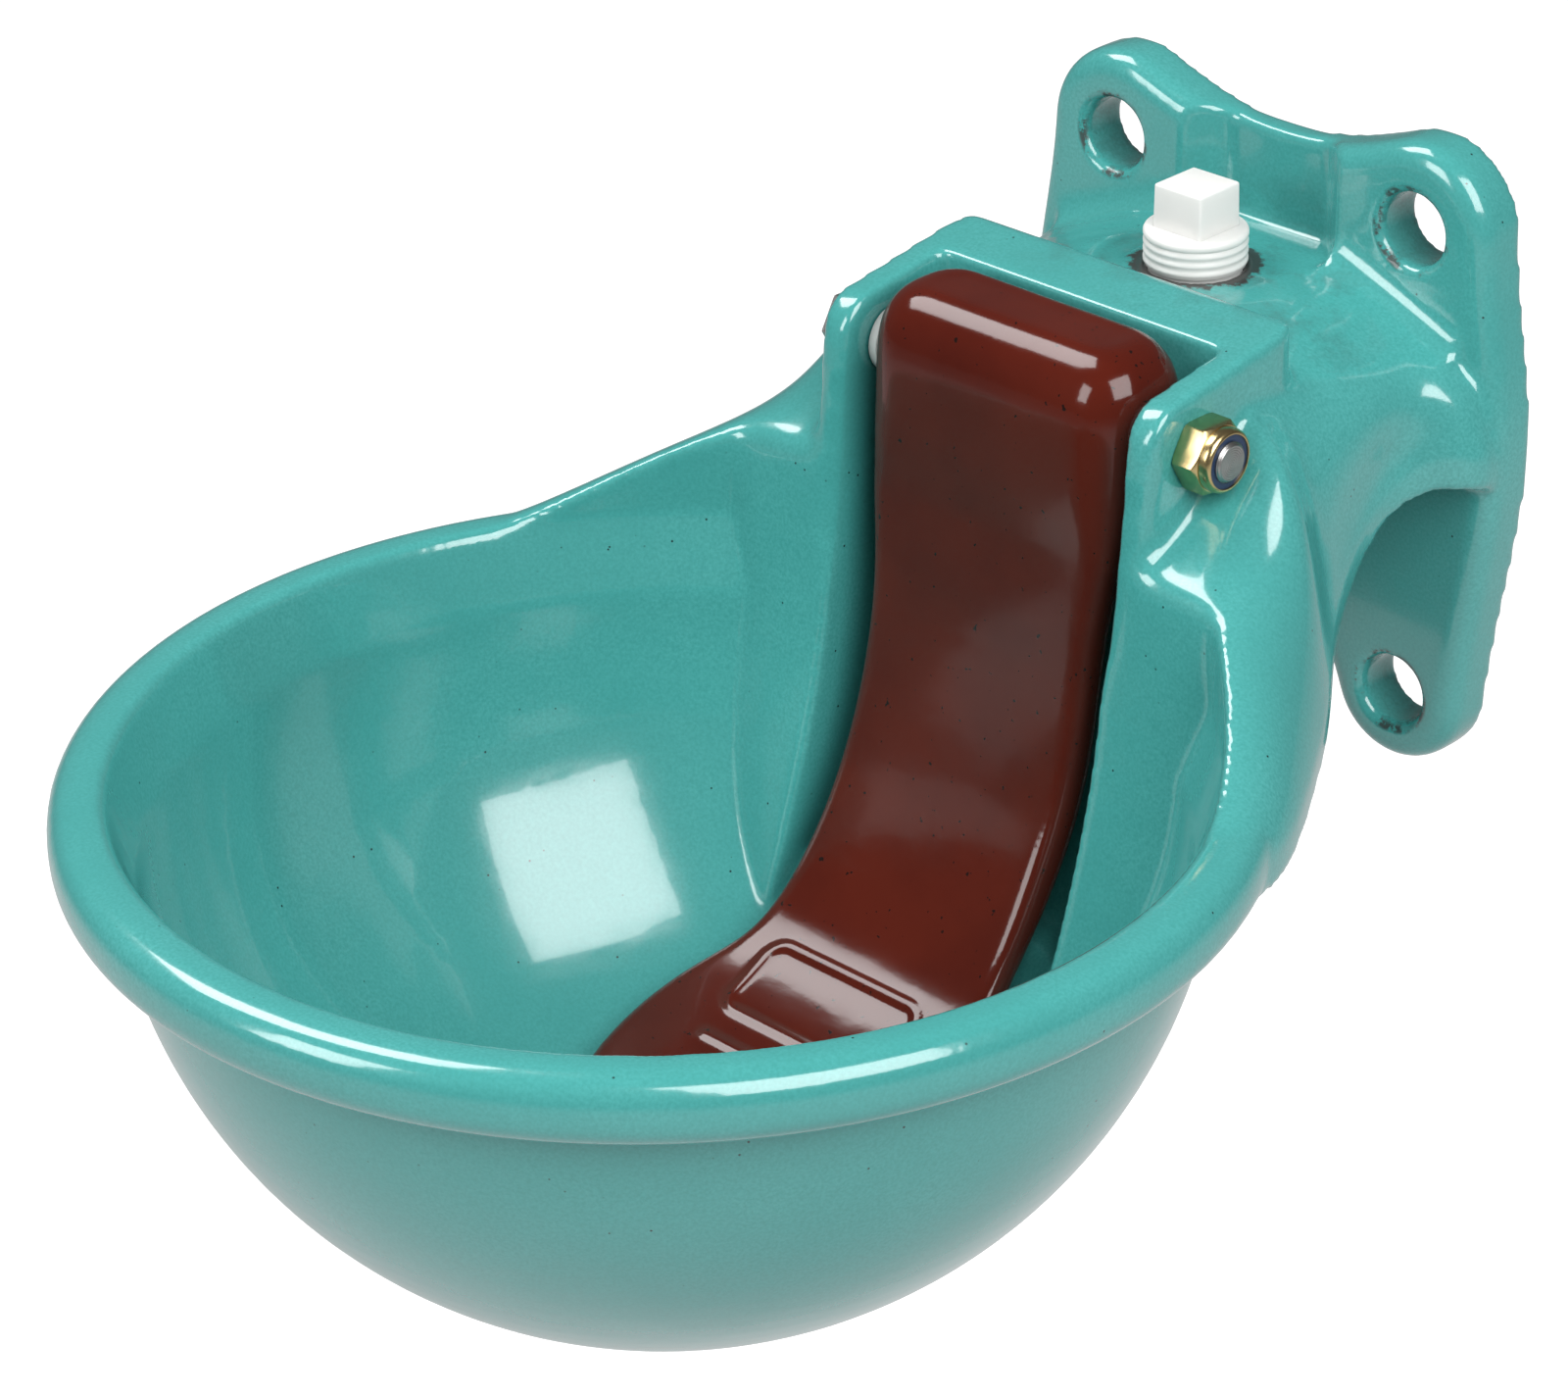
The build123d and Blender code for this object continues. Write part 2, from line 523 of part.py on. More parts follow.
# ---- plug in the upper port -----------------------------------------------------------------------------------
with BuildPart() as top_plug:
    with BuildSketch(Plane.XY.offset(PLUG_FOOT_Z)):
        with Locations((0, PORT_Y)):
            Circle(PORT_R - PLUG_THREAD_GAP)
    extrude(amount=PLUG_IN)
    with BuildSketch(Plane.XY.offset(PLUG_FOOT_Z + PLUG_IN)):
        with Locations((0, PORT_Y)):
            Circle(PLUG_THREAD_R)
    extrude(amount=PLUG_SHOW)
    chamfer(top_plug.faces().sort_by(Axis.Z)[-1].edges(), 0.8)
    with BuildSketch(Plane.XY.offset(PLUG_FOOT_Z + PLUG_IN + PLUG_SHOW)) as square:
        with Locations((0, PORT_Y)):
            Rectangle(PLUG_SQUARE, PLUG_SQUARE)
    extrude(amount=PLUG_HEAD_H)
    fillet(top_plug.edges().filter_by(Axis.Z), 0.8)
    fillet(top_plug.faces().sort_by(Axis.Z)[-1].edges(), 0.5)
top_plug.part.label = "top_plug"
export_step(top_plug.part, "parts/top_plug.step")

# ---- valve --------------------------------------------------------------------------------------------------------
VALVE_AXIS = (0, VALVE_Z)


def valve_disc(y_from, length, radius, hole=0.0):
    """A disc or ring about the valve axis, from y_from towards the wall."""
    with BuildPart() as piece:
        with BuildSketch(cross_plane(y_from)):
            with Locations(VALVE_AXIS):
                Circle(radius)
                if hole:
                    Circle(hole, mode=Mode.SUBTRACT)
        extrude(amount=-length)
    return piece.part


valve_gasket = valve_disc(CHANNEL_BACK_Y - GASKET_T, GASKET_T, GASKET_R, VALVE_THREAD_R)
valve_gasket.label = "valve_gasket"
export_step(valve_gasket, "parts/valve_gasket.step")

with BuildPart() as valve_body:
    with BuildSketch(cross_plane(CHANNEL_BACK_Y - GASKET_T)):
        with Locations(VALVE_AXIS):
            RegularPolygon(VALVE_HEX_AF / 2, 6, major_radius=False)
    extrude(amount=VALVE_HEX_T)
    chamfer(valve_body.faces().sort_by(Axis.Y)[0].edges(), 0.8)
    with BuildSketch(cross_plane(VALVE_SEAT_Y)):
        with Locations(VALVE_AXIS):
            Circle(VALVE_THREAD_R - SCREW_GAP)
    extrude(amount=VALVE_SEAT_Y - CHANNEL_BACK_Y + GASKET_T)
    with BuildSketch(cross_plane(VALVE_SEAT_Y)):
        with Locations(VALVE_AXIS):
            Circle(VALVE_WAY_R)
    extrude(amount=VALVE_SHANK_L - VALVE_GUIDE_L, mode=Mode.SUBTRACT)
    with BuildSketch(cross_plane(VALVE_SEAT_Y)):
        with Locations(VALVE_AXIS):
            Circle(STEM_R + STEM_GAP)
            with PolarLocations((STEM_R + VALVE_WAY_R) / 2, 4, start_angle=45):
                Circle(VALVE_OUTLET_R)
    extrude(amount=VALVE_SHANK_L + GASKET_T + VALVE_HEX_T, mode=Mode.SUBTRACT)
valve_body.part.label = "valve_body"
export_step(valve_body.part, "parts/valve_body.step")

with BuildPart() as valve_stem:
    with BuildSketch(side_plane()):
        with BuildLine():
            back = STEM_HEAD_Y + STEM_HEAD_T
            tail = VALVE_SEAT_Y + SEAL_T + SEAL_WASHER_T + STEM_NUT_T + STEM_TAIL
            RadiusArc((STEM_HEAD_Y, VALVE_Z), (STEM_HEAD_Y + STEM_DOME, VALVE_Z + STEM_HEAD_R),
                      STEM_DOME_R)
            Polyline((STEM_HEAD_Y + STEM_DOME, VALVE_Z + STEM_HEAD_R), (back, VALVE_Z + STEM_HEAD_R),
                     (back, VALVE_Z + STEM_R), (tail, VALVE_Z + STEM_R), (tail, VALVE_Z),
                     (STEM_HEAD_Y, VALVE_Z))
        make_face()
    revolve(axis=Axis((0, 0, VALVE_Z), (0, 1, 0)))
valve_stem.part.label = "valve_stem"
export_step(valve_stem.part, "parts/valve_stem.step")

seal_disc = valve_disc(VALVE_SEAT_Y, SEAL_T, SEAL_R, STEM_R)
seal_disc.label = "seal_disc"
export_step(seal_disc, "parts/seal_disc.step")

seal_washer = valve_disc(VALVE_SEAT_Y + SEAL_T, SEAL_WASHER_T, SEAL_R - 0.8, STEM_R)
seal_washer.label = "seal_washer"
export_step(seal_washer, "parts/seal_washer.step")

with BuildPart() as stem_nut:
    with BuildSketch(cross_plane(VALVE_SEAT_Y + SEAL_T + SEAL_WASHER_T)):
        with Locations(VALVE_AXIS):
            RegularPolygon(STEM_NUT_AF / 2, 6, major_radius=False)
            Circle(STEM_R, mode=Mode.SUBTRACT)
    extrude(amount=-STEM_NUT_T)
stem_nut.part.label = "stem_nut"
export_step(stem_nut.part, "parts/stem_nut.step")

with BuildPart() as valve_spring:
    with BuildLine():
        coil = Helix(pitch=SPRING_L / SPRING_TURNS, height=SPRING_L, radius=SPRING_R,
                     center=(0, SPRING_START_Y, VALVE_Z), direction=(0, 1, 0))
    with BuildSketch(Plane(origin=coil @ 0, z_dir=coil % 0)):
        RegularPolygon(SPRING_WIRE_R, 6)
    sweep(is_frenet=True)
valve_spring.part.label = "valve_spring"
export_step(valve_spring.part, "parts/valve_spring.step")
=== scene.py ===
"""Looks of the enamelled cast iron drinking bowl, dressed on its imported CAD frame."""
import json
import math

import bmesh
import bpy
from mathutils import Matrix, Vector

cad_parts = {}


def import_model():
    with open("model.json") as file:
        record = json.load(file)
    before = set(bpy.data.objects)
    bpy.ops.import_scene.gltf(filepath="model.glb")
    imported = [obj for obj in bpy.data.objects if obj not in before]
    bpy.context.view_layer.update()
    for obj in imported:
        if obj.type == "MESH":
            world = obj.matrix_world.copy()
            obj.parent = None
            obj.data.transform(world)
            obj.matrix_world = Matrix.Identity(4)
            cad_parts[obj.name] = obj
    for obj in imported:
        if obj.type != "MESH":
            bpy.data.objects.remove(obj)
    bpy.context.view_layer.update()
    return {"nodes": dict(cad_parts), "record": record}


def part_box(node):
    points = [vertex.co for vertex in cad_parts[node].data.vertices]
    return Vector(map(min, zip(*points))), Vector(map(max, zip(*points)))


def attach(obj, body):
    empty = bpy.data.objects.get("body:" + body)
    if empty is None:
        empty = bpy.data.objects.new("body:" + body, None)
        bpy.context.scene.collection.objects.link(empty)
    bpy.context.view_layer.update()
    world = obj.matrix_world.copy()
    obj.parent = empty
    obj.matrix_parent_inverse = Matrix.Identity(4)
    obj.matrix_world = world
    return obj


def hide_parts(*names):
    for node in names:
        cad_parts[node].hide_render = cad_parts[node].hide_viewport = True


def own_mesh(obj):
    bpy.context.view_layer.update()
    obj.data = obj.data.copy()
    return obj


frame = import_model()

MM = 0.001

# sizes and places of the object, in millimetres
PORT_Y = -30.5
SHELF_Z = 38.5
HOLE_X, HOLE_Z, HOLE_R = 38.0, 50.0, 7.5
FLANGE_T = 12.0
PIVOT_Y, PIVOT_Z = -79.8, 28.5
PLUG_SQUARE = 12.2
PLUG_SHOULDER_Z = SHELF_Z + 8.0
PLUG_PITCH = 1.81          # half-inch pipe thread, 14 to the inch
NUT_ACROSS_FLATS = 13.0
NUT_COLLAR = 2.4           # height of the rolled collar above the hexagon


# ---------------------------------------------------------------- materials

class Shade:
    """One Principled material with short helpers for its node tree."""

    def __init__(self, name, **sockets):
        self.material = bpy.data.materials.new(name)
        self.material.use_nodes = True
        self.tree = self.material.node_tree
        self.surface = self.tree.nodes["Principled BSDF"]
        for label, value in sockets.items():
            self.put(label.replace("_", " ").title().replace("Ior", "IOR"), value)

    def put(self, label, value):
        socket = self.surface.inputs[label]
        socket.default_value = (*value, 1.0) if isinstance(value, tuple) and len(value) == 3 else value

    def node(self, kind, **settings):
        made = self.tree.nodes.new(kind)
        for label, value in settings.items():
            if label in made.inputs:
                made.inputs[label].default_value = value
            else:
                setattr(made, label, value)
        return made

    def link(self, source, target):
        self.tree.links.new(source, target)

    def place(self):
        """The point in the object's own coordinates."""
        if not hasattr(self, "coordinates"):
            self.coordinates = self.node("ShaderNodeTexCoord")
        return self.coordinates.outputs["Object"]

    def math(self, operation, first, second=0.0):
        made = self.node("ShaderNodeMath", operation=operation)
        for socket, value in zip(made.inputs, (first, second)):
            if isinstance(value, bpy.types.NodeSocket):
                self.link(value, socket)
            else:
                socket.default_value = value
        return made.outputs[0]

    def noise(self, scale, detail, roughness=0.55):
        made = self.node("ShaderNodeTexNoise", Scale=scale, Detail=detail, Roughness=roughness)
        self.link(self.place(), made.inputs["Vector"])
        return made.outputs["Fac"]

    def ramp(self, value, low, high, start=0.0, end=1.0):
        """value from low to high becomes start to end, and is held outside."""
        made = self.node("ShaderNodeMapRange", clamp=True)
        made.inputs["From Min"].default_value = low
        made.inputs["From Max"].default_value = high
        made.inputs["To Min"].default_value = start
        made.inputs["To Max"].default_value = end
        self.link(value, made.inputs["Value"])
        return made.outputs[0]

    def mix(self, factor, first, second):
        made = self.node("ShaderNodeMix", data_type="RGBA")
        for socket, value in ((made.inputs[0], factor), (made.inputs[6], first), (made.inputs[7], second)):
            if isinstance(value, bpy.types.NodeSocket):
                self.link(value, socket)
            else:
                socket.default_value = value if isinstance(value, float) else (*value, 1.0)
        return made.outputs[2]

    def distance(self, centre, scale):
        """Distance in mm from a point; a zero scale leaves that axis out."""
        shift = self.node("ShaderNodeVectorMath", operation="SUBTRACT")
        self.link(self.place(), shift.inputs[0])
        shift.inputs[1].default_value = [c * MM for c in centre]
        stretch = self.node("ShaderNodeVectorMath", operation="MULTIPLY")
        self.link(shift.outputs[0], stretch.inputs[0])
        stretch.inputs[1].default_value = [s / MM for s in scale]
        length = self.node("ShaderNodeVectorMath", operation="LENGTH")
        self.link(stretch.outputs[0], length.inputs[0])
        return length.outputs["Value"]

    def bump(self, height, distance, strength, normal=None):
        made = self.node("ShaderNodeBump", Strength=strength, Distance=distance)
        self.link(height, made.inputs["Height"])
        if normal is not None:
            self.link(normal, made.inputs["Normal"])
        return made.outputs[0]

    def normal(self, socket):
        self.link(socket, self.surface.inputs["Normal"])

    def colour(self, socket):
        self.link(socket, self.surface.inputs["Base Color"])


IRON = (0.028, 0.026, 0.024)


def pinholes(s):
    """Where tiny holes are scattered through patches of the enamel."""
    cells = s.node("ShaderNodeTexVoronoi", Scale=330.0)
    s.link(s.place(), cells.inputs["Vector"])
    patches = s.ramp(s.noise(90.0, 1.0), 0.60, 0.64)
    return s.math("MULTIPLY", s.ramp(cells.outputs["Distance"], 0.10, 0.055), patches)


def smudges(s):
    """Where smoke-grey smudges lie round the port and on its shelf."""
    near_port = s.ramp(s.distance((6.0, PORT_Y - 2.0, SHELF_Z), (0.75, 1.0, 1.6)), 36.0, 14.0)
    smudge = s.math("MULTIPLY", near_port, s.ramp(s.noise(75.0, 6.0, 0.7), 0.50, 0.68))
    return s.math("MULTIPLY", smudge, 0.75)


def bare_port(s):
    """Where a ring of bare iron with a ragged edge goes round the port."""
    ring_radius, ragged = 13.0, 1.6
    edge = s.ramp(s.noise(260.0, 4.0, 0.7), 0.3, 0.7, -ragged, ragged)
    port = s.math("ADD", s.distance((0.0, PORT_Y, SHELF_Z), (1.0, 1.0, 0.0)), edge)
    level = s.distance((0.0, 0.0, SHELF_Z), (0.0, 0.0, 1.0))
    return s.math("MULTIPLY", s.ramp(port, ring_radius + 0.4, ring_radius - 0.4), s.ramp(level, 12.0, 8.0))


def chipped_rims(s):
    """Where the enamel has chipped off the front rims of the four bolt holes."""
    mirrored = s.node("ShaderNodeVectorMath", operation="ABSOLUTE")
    s.link(s.place(), mirrored.inputs[0])
    to_hole = s.node("ShaderNodeVectorMath", operation="SUBTRACT")
    s.link(mirrored.outputs[0], to_hole.inputs[0])
    to_hole.inputs[1].default_value = (HOLE_X * MM, 0.0, HOLE_Z * MM)
    flat = s.node("ShaderNodeVectorMath", operation="MULTIPLY")
    s.link(to_hole.outputs[0], flat.inputs[0])
    flat.inputs[1].default_value = (1 / MM, 0.0, 1 / MM)
    radius = s.node("ShaderNodeVectorMath", operation="LENGTH")
    s.link(flat.outputs[0], radius.inputs[0])
    off_edge = s.math("ABSOLUTE", s.math("SUBTRACT", radius.outputs["Value"], HOLE_R + 0.9))
    chips = s.math("MULTIPLY", s.ramp(off_edge, 1.1, 0.4), s.ramp(s.noise(210.0, 5.0, 0.75), 0.50, 0.56))
    depth = s.distance((0.0, 0.0, 0.0), (0.0, 1.0, 0.0))
    chips = s.math("MULTIPLY", chips, s.ramp(depth, FLANGE_T + 5.0, FLANGE_T + 3.0))
    return s.math("MULTIPLY", chips, 0.9)


def teal_enamel():
    """Fired enamel on iron: clear gloss, faint mottling, pinholes, and bare iron where it has chipped."""
    gloss = 0.16
    s = Shade("enamel_teal", roughness=gloss, coat_weight=0.6, coat_roughness=0.04, specular_ior_level=0.6)
    cloud = s.ramp(s.noise(22.0, 4.0), 0.35, 0.65)
    body = s.mix(cloud, (0.052, 0.300, 0.284), (0.070, 0.338, 0.322))
    grain_low, grain_high = 0.90, 1.06
    grain = s.ramp(s.noise(1500.0, 2.0), 0.30, 0.70, grain_low, grain_high)
    body = s.mix(s.ramp(grain, grain_low, grain_high), (0.046, 0.272, 0.256), body)
    body = s.mix(pinholes(s), body, (0.010, 0.030, 0.028))
    body = s.mix(smudges(s), body, (0.045, 0.130, 0.120))
    bare = s.math("MAXIMUM", bare_port(s), chipped_rims(s))
    s.colour(s.mix(bare, body, IRON))
    s.link(s.math("ADD", gloss, s.math("MULTIPLY", bare, 0.4)), s.surface.inputs["Roughness"])
    waves = s.bump(s.noise(70.0, 2.0, 0.4), 0.0005, 0.35)
    s.normal(s.bump(s.math("ADD", s.noise(900.0, 2.0), s.math("MULTIPLY", bare, s.noise(700.0, 4.0))),
                    0.0001, 0.10, waves))
    return s.material


def brown_enamel():
    """Dark oxide red enamel of the tongue, glossier than the bowl."""
    s = Shade("enamel_brown", roughness=0.12, coat_weight=0.15, coat_roughness=0.03, specular_ior_level=0.35)
    body = s.mix(s.ramp(s.noise(30.0, 4.0), 0.35, 0.65), (0.060, 0.0062, 0.0027), (0.080, 0.0090, 0.0037))
    specks = s.ramp(s.noise(700.0, 1.0), 0.72, 0.76)
    s.colour(s.mix(specks, body, (0.012, 0.004, 0.003)))
    waves = s.bump(s.noise(55.0, 2.0, 0.4), 0.0005, 0.35)
    s.normal(s.bump(s.noise(800.0, 2.0), 0.0001, 0.10, waves))
    return s.material


def metal(name, colour, roughness, turned=None):
    """Machined metal; turned gives the centre of its concentric tool marks, about the X axis."""
    s = Shade(name, metallic=1.0, roughness=roughness)
    dirt = s.ramp(s.noise(300.0, 4.0, 0.7), 0.40, 0.75)
    s.colour(s.mix(s.math("MULTIPLY", dirt, 0.35), colour, tuple(c * 0.45 for c in colour)))
    if turned:
        rings = s.math("SINE", s.math("MULTIPLY", s.distance(turned, (0.0, 1.0, 1.0)), 14.0))
        s.normal(s.bump(rings, 0.00004, 0.5))
    return s.material


def plastic(name, colour, roughness, milky=0.0):
    s = Shade(name, roughness=roughness, subsurface_weight=milky, subsurface_scale=0.003)
    if milky:
        s.surface.inputs["Subsurface Radius"].default_value = (1.0, 1.0, 1.0)
    s.put("Base Color", colour)
    s.normal(s.bump(s.noise(600.0, 3.0), 0.0001, 0.08))
    return s.material


def rubber():
    s = Shade("rubber", roughness=0.75)
    s.put("Base Color", (0.02, 0.02, 0.02))
    return s.material


TEAL = teal_enamel()
BROWN = brown_enamel()
STEEL = metal("steel", (0.42, 0.41, 0.40), 0.34, (0.0, PIVOT_Y, PIVOT_Z))
BRASS = metal("brass", (0.66, 0.50, 0.24), 0.24)
NYLON_BLUE = plastic("nylon_blue", (0.012, 0.030, 0.075), 0.4)
NYLON_WHITE = plastic("nylon_white", (0.70, 0.70, 0.68), 0.42, 0.35)
RUBBER = rubber()

SLOTS = {"enamel_teal": TEAL, "enamel_brown": BROWN, "steel": STEEL, "brass": BRASS,
         "nylon_blue": NYLON_BLUE, "nylon_white": NYLON_WHITE, "rubber": RUBBER}


def dress(piece, material):
    piece.data.materials.clear()
    piece.data.materials.append(material)


for entry in frame["record"]["subparts"]:
    dress(frame["nodes"][entry["node"]], SLOTS[entry["material_slot"]])


# ---------------------------------------------------------------- castings

def applied(piece):
    """Fixes the piece's modifiers into its mesh."""
    graph = bpy.context.evaluated_depsgraph_get()
    mesh = bpy.data.meshes.new_from_object(piece.evaluated_get(graph))
    piece.modifiers.clear()
    piece.data = mesh
    return piece


def new_piece(name, mesh):
    piece = bpy.data.objects.new(name, mesh)
    bpy.context.collection.objects.link(piece)
    return piece


def fired_casting(node, name, body, material, voxel, rounds, triangles, detail):
    """The casting with the soft corners that enamel leaves: remeshed from its solid and relaxed.

    voxel is in mm, rounds is how often it is smoothed, and detail adds the casting's own shaping.
    """
    piece = new_piece(name, frame["nodes"][node].data.copy())
    shell = bmesh.new()
    shell.from_mesh(piece.data)
    bmesh.ops.remove_doubles(shell, verts=shell.verts, dist=0.00001)
    shell.to_mesh(piece.data)
    shell.free()
    remesh = piece.modifiers.new("fine", "REMESH")
    remesh.mode = "VOXEL"
    remesh.voxel_size = voxel * MM
    relax = piece.modifiers.new("relax", "SMOOTH")
    relax.factor = 0.5
    relax.iterations = rounds
    applied(piece)
    detail(piece)
    piece.data.shade_smooth()
    dense = new_piece(name + "_dense", piece.data.copy())
    count = sum(len(p.vertices) - 2 for p in piece.data.polygons)
    if count > triangles:
        thin = piece.modifiers.new("thin", "DECIMATE")
        thin.ratio = triangles / count
        keep = piece.modifiers.new("keep", "DATA_TRANSFER")
        keep.object = dense
        keep.use_loop_data = True
        keep.data_types_loops = {"CUSTOM_NORMAL"}
        keep.loop_mapping = "POLYINTERP_NEAREST"
        applied(piece)
    bpy.data.objects.remove(dense)
    dress(piece, material)
    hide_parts(node)
    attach(piece, body)


def raised_frame(piece):
    """Raises the plain frame and the cross rib on the top of the tongue's foot."""
    centre_x, centre_y, half_x, half_y, corner = -2.0, -136.0, 20.0, 8.0, 4.0
    rib_y, rib_half = -151.5, 17.0
    width, height = 1.1, 0.45
    toe_y, heel_y, sole_z = -162.0, -118.0, -97.0
    for vertex in piece.data.vertices:
        x, y, z = vertex.co / MM
        if not (toe_y < y < heel_y and z > sole_z and vertex.normal.z > 0.5):
            continue
        past_x = abs(x - centre_x) - half_x
        past_y = abs(y - centre_y) - half_y
        round_x = max(past_x + corner, 0.0)
        round_y = max(past_y + corner, 0.0)
        edge = math.hypot(round_x, round_y) - corner if round_x and round_y else max(past_x, past_y)
        rib = math.hypot(max(abs(x - centre_x) - rib_half, 0.0), y - rib_y)
        rise = max(math.exp(-(edge / width) ** 2), math.exp(-(rib / width) ** 2))
        vertex.co += vertex.normal * rise * height * MM


def soft_shoulders(piece):
    """Runs the rim into the cheeks without a ledge, by smoothing the two shoulders further."""
    group = piece.vertex_groups.new(name="shoulders")
    shoulder, reach = (43.0, -93.0, 8.0), 27.0
    for vertex in piece.data.vertices:
        x, y, z = vertex.co / MM
        off = math.dist((abs(x), y, z), shoulder) / reach
        if off < 1.0:
            group.add([vertex.index], min(1.0, 2.0 * (1.0 - off)), "REPLACE")
    relax = piece.modifiers.new("shoulders", "SMOOTH")
    relax.vertex_group = group.name
    relax.factor = 0.5
    relax.iterations = 70
    applied(piece)


fired_casting("bowl_casting", "bowl_enamelled", "casting", TEAL,
              1.0, 10, 190000, soft_shoulders)
fired_casting("tongue", "tongue_enamelled", "tongue", BROWN,
              0.8, 10, 120000, raised_frame)


# ---------------------------------------------------------------- plug, lock nut and spring

def meshed(name, shape, material, body, slot, *nodes):
    """Makes the finished shape a piece that rides on its body and stands for its nodes."""
    bmesh.ops.remove_doubles(shape, verts=shape.verts, dist=0.000002)
    bmesh.ops.recalc_face_normals(shape, faces=shape.faces)
    mesh = bpy.data.meshes.new(name)
    shape.to_mesh(mesh)
    shape.free()
    piece = new_piece(name, mesh)
    dress(piece, material)
    if nodes:
        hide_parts(*nodes)
    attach(piece, body)
    return piece


def turn(shape, profile):
    """Turns a profile of (distance along Z, radius) points about the Z axis into a closed solid."""
    line = [shape.verts.new((radius * MM, 0.0, along * MM)) for along, radius in profile]
    edges = [shape.edges.new(pair) for pair in zip(line, line[1:])]
    bmesh.ops.spin(shape, geom=line + edges, cent=(0, 0, 0), axis=(0, 0, 1), angle=2 * math.pi,
                   steps=96, use_merge=True)


def smooth_by_angle(piece, degrees):
    piece.data.shade_smooth()
    piece.data.set_sharp_from_angle(angle=math.radians(degrees))


def soften(piece, width, segments):
    """Rounds the piece's edges by a small radius, in mm."""
    edge = piece.modifiers.new("edge", "BEVEL")
    edge.width = width * MM
    edge.segments = segments
    edge.limit_method = "ANGLE"
    edge.angle_limit = math.radians(30)
    applied(piece)
    smooth_by_angle(piece, 35)


def port_plug():
    """White square-headed pipe plug, its worn thread standing above the seat."""
    low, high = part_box("top_plug")
    foot, crown = low.z / MM, high.z / MM
    seat, shoulder = SHELF_Z + 0.4, PLUG_SHOULDER_Z
    ridge = ((0.0, 10.02), (0.22, 10.12), (0.38, 10.34), (0.62, 10.36), (0.80, 10.12))
    profile = [(foot, 0.0), (foot, 8.8), (foot + 0.8, 9.3), (seat, 9.3), (seat, 9.9)]
    for number in range(3):
        start = seat + 0.2 + number * PLUG_PITCH
        profile += [(start + PLUG_PITCH * share, radius) for share, radius in ridge]
    profile += [(shoulder - 1.9, 10.02), (shoulder - 1.6, 10.30), (shoulder - 1.2, 10.40),
                (shoulder - 0.7, 10.38), (shoulder - 0.25, 10.15), (shoulder, 9.7), (shoulder, 0.0)]
    thread = bmesh.new()
    turn(thread, profile)
    bmesh.ops.translate(thread, verts=thread.verts, vec=(0, PORT_Y * MM, 0))
    piece = meshed("plug_thread", thread, NYLON_WHITE, "casting", "nylon_white", "top_plug")
    smooth_by_angle(piece, 50)

    head = bmesh.new()
    bmesh.ops.create_cube(head, size=1.0)
    height = crown - shoulder + 1.0
    bmesh.ops.scale(head, verts=head.verts, vec=(PLUG_SQUARE * MM, PLUG_SQUARE * MM, height * MM))
    bmesh.ops.translate(head, verts=head.verts, vec=(0, PORT_Y * MM, (crown - height / 2) * MM))
    top = [v for v in head.verts if v.co.z > shoulder * MM]
    taper = 0.975
    bmesh.ops.scale(head, verts=top, vec=(taper, taper, 1.0), space=Matrix.Translation((0, -PORT_Y * MM, 0)))
    soften(meshed("plug_head", head, NYLON_WHITE, "casting", "nylon_white"), 0.55, 4)


def turned_tool(profile):
    """A turned solid that limits another piece and is taken away again."""
    shape = bmesh.new()
    turn(shape, profile)
    bmesh.ops.recalc_face_normals(shape, faces=shape.faces)
    mesh = bpy.data.meshes.new("nut_limit")
    shape.to_mesh(mesh)
    shape.free()
    return new_piece("nut_limit", mesh)


def lock_nut():
    """Brass lock nut: a hexagon with turned corners and a rolled collar."""
    low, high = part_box("pivot_nut")
    length = (high.x - low.x) / MM
    flats = length - NUT_COLLAR
    corner = NUT_ACROSS_FLATS / math.sqrt(3) * MM
    hexagon = bmesh.new()
    bmesh.ops.create_cone(hexagon, cap_ends=True, segments=6, radius1=corner, radius2=corner,
                          depth=flats * MM, matrix=Matrix.Translation((0, 0, flats / 2 * MM)))
    body = meshed("nut_body", hexagon, BRASS, "casting", "brass", "pivot_nut")
    tool = turned_tool([(-1.0, 0.0), (-1.0, 7.0), (0.0, 6.9), (0.5, 7.7), (flats - 1.0, 7.7),
                        (flats + 0.15, 6.3), (flats + 0.15, 0.0)])
    cut = body.modifiers.new("corners", "BOOLEAN")
    cut.operation = "INTERSECT"
    cut.object = tool
    applied(body)
    bpy.data.objects.remove(tool)

    bolt_side, ring_side = 4.02, 5.30
    collar = bmesh.new()
    turn(collar, [(0.0, bolt_side), (0.0, 6.1), (flats - 0.3, 6.3), (length - 1.3, 6.35),
                  (length - 0.7, 6.25), (length - 0.25, 5.95), (length, 5.55), (length - 0.05, 5.35),
                  (length - 0.35, ring_side), (flats, ring_side), (flats, bolt_side), (0.0, bolt_side)])
    ring = meshed("nut_collar", collar, BRASS, "casting", "brass")
    for piece in (body, ring):
        piece.data.transform(Matrix.Translation((low.x, PIVOT_Y * MM, PIVOT_Z * MM))
                             @ Matrix.Rotation(math.radians(90), 4, "Y"))
    soften(body, 0.12, 2)
    smooth_by_angle(ring, 50)


def return_spring():
    """The valve's coil, a steel copy of its solid that rides on the casting."""
    piece = new_piece("return_spring", frame["nodes"]["valve_spring"].data.copy())
    dress(piece, STEEL)
    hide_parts("valve_spring")
    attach(piece, "casting")
    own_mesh(piece)


port_plug()
lock_nut()
return_spring()


# ---------------------------------------------------------------- stage, light and camera

MIDDLE = (0.0, -0.13, -0.02)


